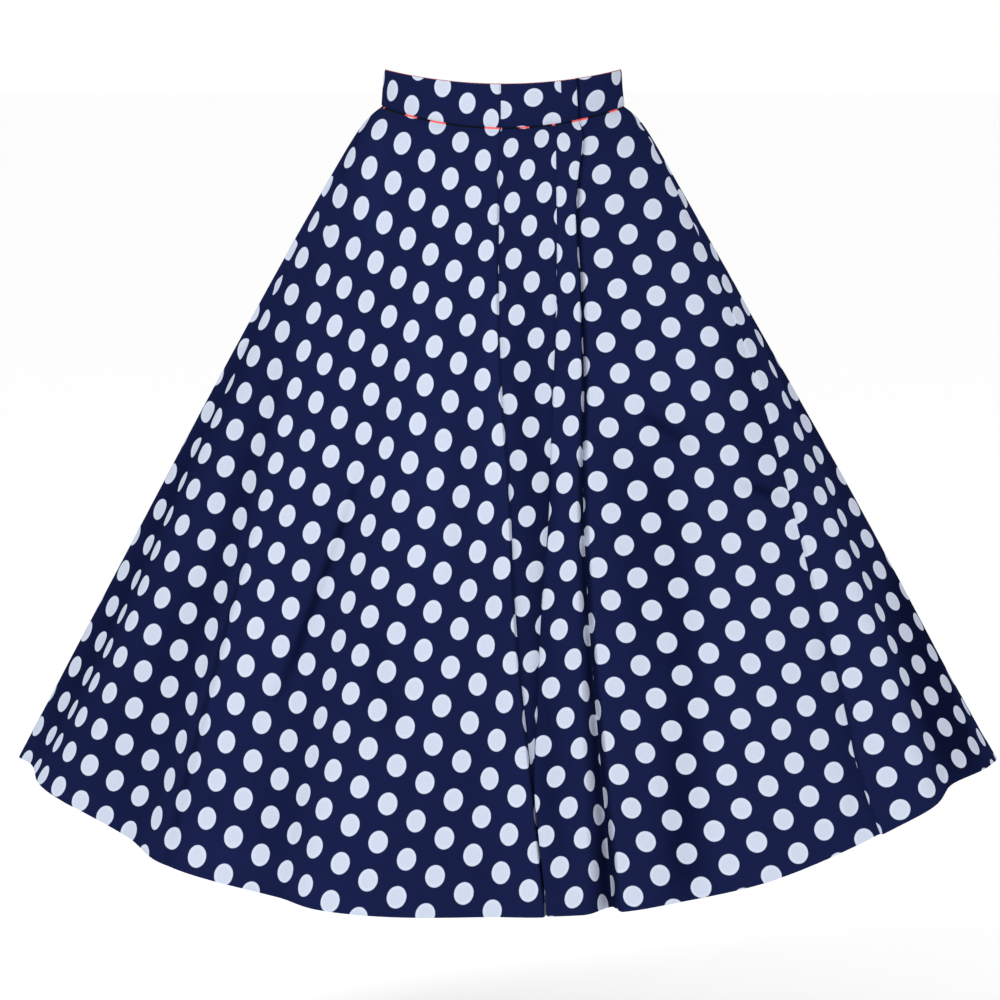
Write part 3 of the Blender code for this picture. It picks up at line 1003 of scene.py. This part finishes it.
@dataclass(frozen=True)
class PrintedCotton:
    """Navy cotton with white dots: one side of the cloth."""

    name: str
    navy: tuple = (0.0066, 0.0106, 0.0455)
    # The navy in full painted shade.
    navy_in_painted_shade: tuple = (0.0012, 0.0019, 0.0100)
    yarn: tuple = (0.02, 0.03, 0.14)
    yarn_share: float = 0.16
    dot: tuple = (0.425, 0.462, 0.562)
    dot_rim: tuple = (0.462, 0.500, 0.606)
    # The dots in full painted shade.
    dot_in_painted_shade: tuple = (0.24, 0.27, 0.34)
    dot_share: float = 1.0
    # How far the painted shade dims the dots.
    dot_shade_share: float = 0.3
    roughness: float = 0.62
    sheen: float = 0.02
    sheen_roughness: float = 0.45
    sheen_tint: tuple = (0.10, 0.14, 0.36)
    weave_bump: float = 0.16
    weave_rise: float = 0.15 * MM
    crumple_bump: float = 0.22
    crumple_rise: float = 1.2 * MM
    crumple_scale: float = 34.0
    patch_scale: float = 9.0
    patch: float = 0.24
    rough_scale: float = 60.0
    rough_spread: float = 0.10

    def build(self, dots: bpy.types.NodeTree, weave: bpy.types.NodeTree) -> Material:
        """Build the material.

        Args:
            dots: The dot print's group.
            weave: The weave's group.
        Returns:
            The finished material, which reads the map "cut" and the painted shade attribute
            "hollow".
        """
        material, write, shader = new_material(self.name)
        place = write.cut_place()
        printed, woven = write.on_place(dots, place), write.on_place(weave, place)
        painted_shade = write.add("ShaderNodeAttribute", {}, attribute_name="painted_shade").outputs["Fac"]
        patch = write.noise(place, self.patch_scale, 3.0, 0.6)
        # Painted shade from the attribute, with random tone patches, dims the navy and, less, the
        # dots.
        shade_and_patches = write.maths("ADD", painted_shade, write.maths("MULTIPLY_ADD", patch, self.patch,
                                                       -self.patch / 2.0))
        ground = write.mix(shade_and_patches, (*self.navy, 1.0), (*self.navy_in_painted_shade, 1.0))
        yarn = write.mix(woven["Shade"], (0.0, 0.0, 0.0, 1.0), (*self.yarn, 1.0))
        white = write.mix(printed["Rim"], (*self.dot, 1.0), (*self.dot_rim, 1.0))
        dot_painted_shade = write.maths("MULTIPLY", shade_and_patches, self.dot_shade_share)
        white = write.mix(dot_painted_shade, white, (*self.dot_in_painted_shade, 1.0))
        mask = write.maths("MULTIPLY", printed["Dots"], self.dot_share)
        rough = write.noise(place, self.rough_scale, 2.0)
        crumple = write.bump(write.noise(place, self.crumple_scale, 3.0, 0.55),
                             self.crumple_bump, self.crumple_rise)
        write.fill(shader, {
            "Base Color": write.mix(mask, write.mix(self.yarn_share, ground, yarn), white),
            "Roughness": write.rough(rough, self.roughness, self.rough_spread),
            "Sheen Weight": self.sheen,
            "Sheen Roughness": self.sheen_roughness,
            "Sheen Tint": (*self.sheen_tint, 1.0),
            "Specular IOR Level": 0.0,
            "Normal": write.bump(woven["Height"], self.weave_bump, self.weave_rise, crumple),
        })
        return material


@dataclass(frozen=True)
class SeamShade:
    """Painted shadow of the sunk waist seam: near black, and coral where a white dot runs into it.
    """

    name: str = "waist_seam_shade"
    painted_shadow: tuple = (0.0012, 0.0014, 0.0040)
    painted_shadow_grain: tuple = (0.004, 0.005, 0.014)
    coral: tuple = (0.70, 0.085, 0.075)
    grain_scale: float = 700.0
    grain_bump: float = 0.3
    grain_rise: float = 0.1 * MM
    roughness: float = 0.85
    rough_spread: float = 0.1
    specular: float = 0.05

    def build(self, dots: bpy.types.NodeTree) -> Material:
        """Build the material, which reads the map "cut", with the dot print's group."""
        material, write, shader = new_material(self.name)
        place = write.cut_place()
        grain = write.noise(place, self.grain_scale, 2.0)
        # Painted shadow: near black with a faint grain, coral where a white dot meets it.
        painted_shadow = write.mix(write.maths("MULTIPLY", grain, 0.5), (*self.painted_shadow, 1.0),
                         (*self.painted_shadow_grain, 1.0))
        dot = write.on_place(dots, place)["Dots"]
        write.fill(shader, {
            "Base Color": write.mix(dot, painted_shadow, (*self.coral, 1.0)),
            "Roughness": write.rough(grain, self.roughness, self.rough_spread),
            "Specular IOR Level": self.specular,
            "Normal": write.bump(grain, self.grain_bump, self.grain_rise),
        })
        return material


@dataclass(frozen=True)
class Thread:
    """Twisted sewing thread."""

    name: str
    colour: tuple
    light: tuple
    roughness: float = 0.55
    rough_spread: float = 0.1
    twist: float = 0.9 * MM
    twist_bump: float = 0.4
    twist_rise: float = 0.08 * MM

    def build(self) -> Material:
        """Build the material, whose twist follows Object coordinates."""
        material, write, shader = new_material(self.name)
        ply = write.add("ShaderNodeTexWave", {
            "Vector": write.object_place(), "Scale": 0.3 / self.twist, "Distortion": 1.5,
        }, wave_type="BANDS", bands_direction="DIAGONAL").outputs["Fac"]
        write.fill(shader, {
            "Base Color": write.mix(ply, (*self.colour, 1.0), (*self.light, 1.0)),
            "Roughness": write.rough(ply, self.roughness, self.rough_spread),
            "Normal": write.bump(ply, self.twist_bump, self.twist_rise),
        })
        return material


@dataclass
class Finishes:
    """Every finish of the skirt, built once."""

    face: Material = field(init=False)
    wrong: Material = field(init=False)
    band: Material = field(init=False)
    seam: Material = field(init=False)
    navy_thread: Material = field(init=False)
    red_thread: Material = field(init=False)

    def __post_init__(self) -> None:
        """Build the groups and the materials."""
        dots = DotPrint().group()
        weave = PlainWeave().group()
        self.face = PrintedCotton("skirt_cotton_face").build(dots, weave)
        # The paler wrong side, with its own navy in painted shade.
        self.wrong = PrintedCotton(
            "skirt_cotton_wrong_side", navy=(0.030, 0.040, 0.110),
            navy_in_painted_shade=(0.020, 0.027, 0.075), dot=(0.36, 0.40, 0.50), dot_rim=(0.38, 0.42, 0.52),
            dot_share=0.8, roughness=0.8,
        ).build(dots, weave)
        self.band = PrintedCotton("band_cotton_face", crumple_bump=0.12).build(dots, weave)
        self.seam = SeamShade().build(dots)
        self.navy_thread = Thread("navy_thread", (0.010, 0.013, 0.045),
                                  (0.022, 0.028, 0.080)).build()
        self.red_thread = Thread("red_thread", (0.20, 0.016, 0.020), (0.34, 0.035, 0.038)).build()


@dataclass
class Shell:
    """A thin closed shell of cloth, made from matching grids of its outside and inside points.

    Rows run down and columns to the right, as seen from outside.
    """

    name: str
    outer: Array
    inner: Array
    sharp: float = math.radians(50.0)

    def faces(self) -> tuple:
        """List the corners of each quad, and the side that it lies on."""
        rows, columns = self.outer.shape[:2]
        number = np.arange(rows * columns).reshape(rows, columns)
        skin = rows * columns
        a, b = number[:-1, :-1].ravel(), number[1:, :-1].ravel()
        c, d = number[1:, 1:].ravel(), number[:-1, 1:].ravel()
        outside = np.stack((a, b, c, d), 1)
        inside = np.stack((a, d, c, b), 1) + skin
        rims = []
        for edge, turn in ((number[:, 0], 1), (number[:, -1], -1), (number[0], -1),
                           (number[-1], 1)):
            quad = np.stack((edge[:-1], edge[:-1] + skin, edge[1:] + skin, edge[1:]), 1)
            rims.append(quad[:, ::turn])
        quads = np.concatenate((outside, inside, *rims))
        sides = np.full(len(quads), Side.FACE.value)
        sides[len(outside):len(outside) + len(inside)] = Side.WRONG.value
        return quads, sides

    def build(self, place: Array, painted_shade: Array, materials: tuple) -> Object:
        """Make the mesh object.

        Args:
            place: The print's place on every face column, as lay_print gives it.
            painted_shade: The painted shade on each point, from 0 to 1, most down in the folds.
            materials: The finishes of its outside and inside.
        Returns:
            The object, linked to the scene.
        """
        rows, columns = self.outer.shape[:2]
        quads, sides = self.faces()
        mesh = bpy.data.meshes.new(self.name)
        points = np.concatenate((self.outer.reshape(-1, 3), self.inner.reshape(-1, 3)))
        mesh.vertices.add(len(points))
        mesh.vertices.foreach_set("co", points.astype(np.float32).ravel())
        mesh.loops.add(quads.size)
        mesh.loops.foreach_set("vertex_index", quads.ravel())
        mesh.polygons.add(len(quads))
        mesh.polygons.foreach_set("loop_start", np.arange(0, quads.size, 4))
        mesh.polygons.foreach_set("loop_total", np.full(len(quads), 4))
        mesh.polygons.foreach_set("material_index", sides)
        mesh.update(calc_edges=True)
        vertex = quads % (rows * columns)
        row, column = vertex // columns, vertex % columns
        low = column.min(1, keepdims=True)
        face_column = np.minimum(low, columns - 2)
        right = np.where(low > face_column, 1, (column > low).astype(int))
        cut = place[row, np.broadcast_to(face_column, row.shape), right]
        layer = mesh.uv_layers.new(name="cut")
        layer.data.foreach_set("uv", cut.astype(np.float32).ravel())
        # Painted shade, the same on both skins of the cloth.
        deep = np.concatenate((painted_shade.ravel(), painted_shade.ravel()))
        attribute = mesh.attributes.new("painted_shade", "FLOAT", "POINT")
        attribute.data.foreach_set("value", deep.astype(np.float32))
        for material in materials:
            mesh.materials.append(material)
        mesh.validate()
        mesh.shade_smooth()
        mesh.set_sharp_from_angle(angle=self.sharp)
        return linked(self.name, mesh)


@dataclass
class SkirtPanel:
    """One flared panel, from the waist seam to the hem."""

    node: str
    start: str
    end: str
    apex_line: str
    rows: int = 132
    row_bias: float = 1.12
    column: float = 0.0026
    cloth: float = 0.9 * MM
    hem_cloth: float = 1.5 * MM
    hem_fold: float = 20.0 * MM
    hem_ease: float = 1.5 * MM
    # Painted shade: a share on all the cloth, and more down in the folds between these two
    # heights.
    base_shade: float = 0.22
    fold_shade: float = 0.45
    fold_top: float = 2.0 * MM
    fold_foot: float = -20.0 * MM
    outer: Array = field(init=False)
    inner: Array = field(init=False)
    grid: ClothGrid = field(init=False)
    drape: Drape = field(default_factory=Drape)

    def __post_init__(self) -> None:
        """Work out the panel's points."""
        levels = np.linspace(0.0, 1.0, self.rows) ** self.row_bias
        grid = self.grid = ClothGrid(self.start, self.end, levels, self.column)
        height = grid.height + self.drape.relief(grid)
        self.outer = FORM.cloth_point(grid.azimuth, grid.level, height)
        thick = self.cloth + (self.hem_cloth - self.cloth) * self.hem_share()
        self.inner = self.outer - outward_normals(self.outer) * thick[..., None]

    def hem_share(self) -> Array:
        """Say where the hem is turned up, with a soft upper edge."""
        above = (1.0 - self.grid.level) * FORM.hem_section(self.grid.azimuth)[..., 2]
        return smooth_step((self.hem_fold + self.hem_ease - above) / (2.0 * self.hem_ease))

    def painted_shade(self) -> Array:
        """Give the painted shade of each point, from 0 to 1, most in the folds."""
        lift = self.grid.height + self.drape.creases(self.grid)
        sunk = (self.fold_top - lift) / (self.fold_top - self.fold_foot)
        deep = self.base_shade + self.fold_shade * smooth_step(sunk)
        return np.clip(deep + self.drape.shades(self.grid), 0.0, 1.0)

    def place(self) -> Array:
        """Lay the print out on the panel."""
        cut = FlatCut()
        radius, bearing = cut.polar(self.outer, self.grid.column_of(self.apex_line))
        return lay_print(self.grid, SKIRT_GRAIN[self.node],
                         lambda grain: cut.panel_place(radius, bearing, grain))

    def build(self, finishes: Finishes) -> Object:
        """Make the panel.

        Args:
            finishes: The skirt's finishes.
        Returns:
            The panel's object.
        """
        shell = Shell(self.node + "_cloth", self.outer, self.inner)
        piece = shell.build(self.place(), self.painted_shade(), (finishes.face, finishes.wrong))
        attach(piece, BODY)
        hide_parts(self.node)
        width = float(run_along(self.outer[-1:], 1)[0, -1])
        length = float(run_along(self.outer, 0)[-1].max())
        return piece


@dataclass
class BandPiece:
    """One length of the waistband, a doubled strip with a folded top edge."""

    node: str
    start: str
    end: str
    rows: int = 22
    column: float = 0.0060
    proud: float = 0.9 * MM
    cloth: float = 1.8 * MM
    roll: float = 0.9 * MM
    wave: float = 0.25 * MM
    # Painted shade: a share on all the band, and more where it sinks into the folds.
    base_shade: float = 0.22
    fold_shade: float = 0.5
    fold_foot: float = 4.0 * MM
    grid: ClothGrid = field(init=False)
    outer: Array = field(init=False)
    inner: Array = field(init=False)

    def __post_init__(self) -> None:
        """Work out the band's points, with its two edges rounded over."""
        self.grid = ClothGrid(self.start, self.end, np.zeros(self.rows), self.column, 6)
        azimuth = self.grid.azimuth
        share = np.linspace(1.0, 0.0, self.rows)[:, None] * np.ones_like(azimuth)
        tall = FORM.top_height(azimuth) - FORM.foot_height(azimuth)
        edge = np.clip(np.minimum(share, 1.0 - share) * tall / self.roll, 0.0, 1.0)
        half = self.cloth / 2.0
        rounding = half * np.sqrt(edge * (2.0 - edge))
        middle = self.grid.height + self.proud - half + self.wander(share)
        self.outer = FORM.band_point(azimuth, share, middle + rounding)
        self.inner = FORM.band_point(azimuth, share, middle - rounding)

    def wander(self, share: Array) -> Array:
        """Give the faint waves of the worn band."""
        turn = np.radians(self.grid.azimuth)
        wave = np.sin(7.0 * turn + 0.6) + 0.6 * np.sin(17.0 * turn + 2.0 + 2.0 * share)
        return self.wave * wave * np.sin(np.pi * share)

    def place(self) -> Array:
        """Lay the print out on the band."""
        last = self.grid.azimuth.shape[1] - 1
        seam = last if self.end in ("front_seam", "back_seam_end") else 0
        return lay_print(self.grid, BAND_GRAIN[self.node],
                         lambda grain: FlatCut().band_place(self.outer, seam, grain))

    def build(self, finishes: Finishes) -> Object:
        """Make the band piece and log its length and height.

        Args:
            finishes: The skirt's finishes.
        Returns:
            The piece's object.
        """
        shell = Shell(self.node + "_cloth", self.outer, self.inner)
        # Painted shade, more where the band sinks between its folds.
        sunk = smooth_step(-self.grid.height / self.fold_foot)
        painted_shade = self.base_shade + self.fold_shade * sunk
        piece = shell.build(self.place(), painted_shade, (finishes.band, finishes.band))
        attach(piece, BODY)
        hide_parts(self.node)
        middle = self.rows // 2
        length = float(run_along(self.outer[middle:middle + 1], 1)[0, -1])
        tall = float(run_along(self.outer, 0)[-1].mean())
        LOG.info("%s: %.3f m long, %.3f m tall", piece.name, length, tall)
        return piece


@dataclass
class WaistSeam:
    """The sunk line between a band piece and the panel below it, a strip of painted shadow."""

    panel: SkirtPanel
    band: BandPiece
    tall: float = 2.2 * MM
    above: float = 0.35
    stand: float = 0.35 * MM
    tuck_in: float = 0.1 * MM
    thick: float = 0.5 * MM
    rows: int = 4

    def build(self, finishes: Finishes) -> Object:
        """Make the line as a narrow strip of painted shadow that hugs the cloth just under the
        band.

        Args:
            finishes: The skirt's finishes.
        Returns:
            The strip's object.
        """
        points = self.panel.outer
        normal = outward_normals(points)[1]
        outer = np.empty((self.rows, *points.shape[1:]))
        for row, step in enumerate(np.linspace(-self.above, 1.0, self.rows) * self.tall):
            outer[row] = path_at(points, max(step, 0.0))
            if step < 0.0:
                outer[row, :, 2] = points[0, :, 2] - step
            outer[row] += normal * (self.stand if 0 < row < self.rows - 1 else -self.tuck_in)
        place = np.repeat(self.panel.place()[:1], self.rows, 0)
        shell = Shell(self.band.node.replace("waistband", "waist_seam"), outer,
                      outer - normal * self.thick)
        piece = shell.build(place, np.zeros(outer.shape[:2]), (finishes.seam, finishes.seam))
        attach(piece, BODY)
        LOG.info("%s: %d faces", piece.name, len(piece.data.polygons))
        return piece


@dataclass(frozen=True)
class StitchRun:
    """Stitches along a path, made by a tree of Geometry Nodes."""

    name: str
    pitch: float
    length: float
    thickness: float
    slant: float = 0.0

    def tree(self, material: Material) -> bpy.types.NodeTree:
        """Build the tree, which has named inputs for its sizes and ends in this material."""
        group, write, given, out = new_group(
            self.name + "_tree", {"Pitch": self.pitch, "Stitch length": self.length,
                                  "Thickness": self.thickness, "Slant": self.slant},
            ("Stitches",), "GeometryNodeTree", ("Path", "NodeSocketGeometry"),
            "NodeSocketGeometry")
        curve = write.add("GeometryNodeMeshToCurve", {"Mesh": given["Path"]}).outputs[0]
        even = write.add("GeometryNodeResampleCurve", {
            "Curve": curve, "Length": given["Pitch"]}, mode="LENGTH").outputs[0]
        along = write.add("GeometryNodeInputTangent", {}).outputs[0]
        facing = write.add("FunctionNodeAlignRotationToVector", {"Vector": along}, axis="X")
        lean = write.add("FunctionNodeAxisAngleToRotation", {
            "Axis": (0.0, 1.0, 0.0), "Angle": given["Slant"]})
        tilt = write.add("FunctionNodeRotateRotation", {
            0: facing.outputs[0], 1: lean.outputs[0]}, rotation_space="LOCAL")
        stitch = write.add("GeometryNodeMeshUVSphere", {
            "Segments": 8, "Rings": 5, "Radius": 0.5})
        size = write.add("ShaderNodeCombineXYZ", {
            0: given["Stitch length"], 1: given["Thickness"], 2: given["Thickness"]})
        spread = write.add("GeometryNodeInstanceOnPoints", {
            "Points": even, "Instance": stitch.outputs["Mesh"], "Rotation": tilt.outputs[0],
            "Scale": size.outputs[0]})
        real = write.add("GeometryNodeRealizeInstances", {"Geometry": spread.outputs[0]})
        finish = write.add("GeometryNodeSetMaterial", {
            "Geometry": real.outputs[0], "Material": material})
        write.fill(out, {"Stitches": finish.outputs[0]})
        return group

    def build(self, path: Array, material: Material) -> Object:
        """Run the stitches along a path.

        Args:
            path: Points of an open path.
            material: The thread's finish.
        Returns:
            The stitches as one plain mesh.
        """
        guide = bpy.data.meshes.new(self.name + "_path")
        edges = [(i, i + 1) for i in range(len(path) - 1)]
        guide.from_pydata([tuple(point) for point in path], edges, [])
        carrier = linked(self.name + "_path", guide)
        modifier = carrier.modifiers.new("stitches", "NODES")
        modifier.node_group = self.tree(material)
        for item in modifier.node_group.interface.items_tree:
            if item.in_out == "INPUT" and item.socket_type == "NodeSocketFloat":
                modifier[item.identifier] = item.default_value
        ready = carrier.evaluated_get(bpy.context.evaluated_depsgraph_get())
        mesh = bpy.data.meshes.new_from_object(ready)
        carrier.modifiers.remove(modifier)
        bpy.data.objects.remove(carrier)
        mesh.name = self.name
        mesh.shade_smooth()
        piece = linked(self.name, mesh)
        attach(piece, BODY)
        LOG.info("%s: %d faces", piece.name, len(mesh.polygons))
        return piece


@dataclass
class Skirt:
    """The whole skirt; a stitch is given by its pitch, length, thickness and slant."""

    finishes: Finishes
    back_column: float = 0.0032
    edge_stand: float = 0.2 * MM
    edge_stitch: tuple = (2.6 * MM, 2.6 * MM, 0.8 * MM)
    hem_step: float = 1.0 * MM
    hem_stitch: tuple = (7.0 * MM, 2.6 * MM, 0.5 * MM, math.radians(35.0))
    panels: list = field(init=False)
    bands: list = field(init=False)

    def __post_init__(self) -> None:
        """Work out the panels and the lengths of the waistband."""
        self.panels = [
            SkirtPanel("skirt_front_left", "left_side", "front_seam", "front_seam"),
            SkirtPanel("skirt_front_right", "front_seam", "right_side", "front_seam"),
            SkirtPanel("skirt_back_left", "back_seam", "left_side", "back_seam",
                       column=self.back_column),
            SkirtPanel("skirt_back_right", "right_side", "back_seam_end", "back_seam_end",
                       column=self.back_column),
        ]
        self.bands = [BandPiece(panel.node.replace("skirt", "waistband"), panel.start, panel.end)
                      for panel in self.panels]

    def build_cloth(self) -> None:
        """Make the panels, the waistband and the seam between them."""
        for panel, band in zip(self.panels, self.bands):
            panel.build(self.finishes)
            band.build(self.finishes)
            WaistSeam(panel, band).build(self.finishes)

    def stitch(self) -> None:
        """Sew the top edge and, on the inside, the hem."""
        for band in self.bands:
            edge = (band.inner[0] + band.outer[0]) * 0.5 + np.array((0.0, 0.0, self.edge_stand))
            run = StitchRun(band.node.replace("waistband", "top_edge_stitches"),
                            *self.edge_stitch)
            run.build(edge, self.finishes.red_thread)
        for panel in self.panels:
            row = path_at(panel.inner[::-1], panel.hem_fold - self.hem_step)[2:-2]
            run = StitchRun(panel.node.replace("skirt", "hem_stitches"), *self.hem_stitch)
            run.build(row, self.finishes.navy_thread)


@dataclass(frozen=True)
class Studio:
    """The pale floor, the soft light and the camera at the photo's angle.

    Each light has its place, its size in metres and its power in watts.
    """

    camera_place: tuple = (-0.003, -4.400, 0.020)
    camera_pitch: float = 5.68
    lens: float = 155.7
    sensor: float = 36.0
    far: float = 500.0
    floor_height: float = -1.05
    floor_half: float = 200.0
    paper: tuple = (0.985, 0.985, 0.985)
    paper_grain: tuple = (0.975, 0.975, 0.975)
    aim: tuple = (0.0, 0.0, -0.4)
    key: tuple = ((-2.2, -3.2, 1.9), 1.4, 95.0)
    softener: tuple = ((2.8, -2.6, 0.6), 2.2, 28.0)

    def camera(self) -> None:
        """Place the camera."""
        data = bpy.data.cameras.new("camera")
        data.lens = self.lens
        data.sensor_fit = "HORIZONTAL"
        data.sensor_width = self.sensor
        data.clip_end = self.far
        item = linked("camera", data)
        item.location = self.camera_place
        item.rotation_euler = (math.radians(90.0 - self.camera_pitch), 0.0, 0.0)
        bpy.context.scene.camera = item

    def floor(self) -> None:
        """Lay the pale floor."""
        half = self.floor_half
        corners = [(-half, -half), (half, -half), (half, half), (-half, half)]
        mesh = bpy.data.meshes.new("floor")
        mesh.from_pydata([(x, y, self.floor_height) for x, y in corners], [], [(0, 1, 2, 3)])
        material, write, shader = new_material("floor_paper")
        grain = write.noise(write.object_place(), 3.0)
        tone = write.mix(grain, (*self.paper, 1.0), (*self.paper_grain, 1.0))
        write.fill(shader, {"Base Color": tone, "Roughness": 0.9})
        mesh.materials.append(material)
        linked("floor", mesh)

    def area_light(self, name: str, place: tuple, size: float, power: float) -> None:
        """Hang a soft square light that faces the skirt."""
        data = bpy.data.lights.new(name, "AREA")
        data.shape = "SQUARE"
        data.size = size
        data.energy = power
        item = linked(name, data)
        item.location = place
        toward = Vector(self.aim) - Vector(place)
        item.rotation_euler = toward.to_track_quat("-Z", "Y").to_euler()

    def light(self) -> None:
        """Light the skirt softly from all round, with more from the upper left front."""
        world = bpy.data.worlds.new("studio")
        world.use_nodes = True
        NodeTree(world.node_tree).fill(world.node_tree.nodes["Background"], {
            "Color": (1.0, 1.0, 1.0, 1.0), "Strength": 1.0})
        bpy.context.scene.world = world
        self.area_light("key", *self.key)
        self.area_light("fill", *self.softener)
        bpy.context.scene.view_settings.view_transform = "Standard"


def main() -> None:
    """Build the studio and the skirt."""
    logging.basicConfig(level=logging.INFO, format="%(name)s: %(message)s")
    studio = Studio()
    studio.camera()
    studio.floor()
    studio.light()
    skirt = Skirt(Finishes())
    skirt.build_cloth()
    skirt.stitch()


if __name__ == "__main__":
    main()
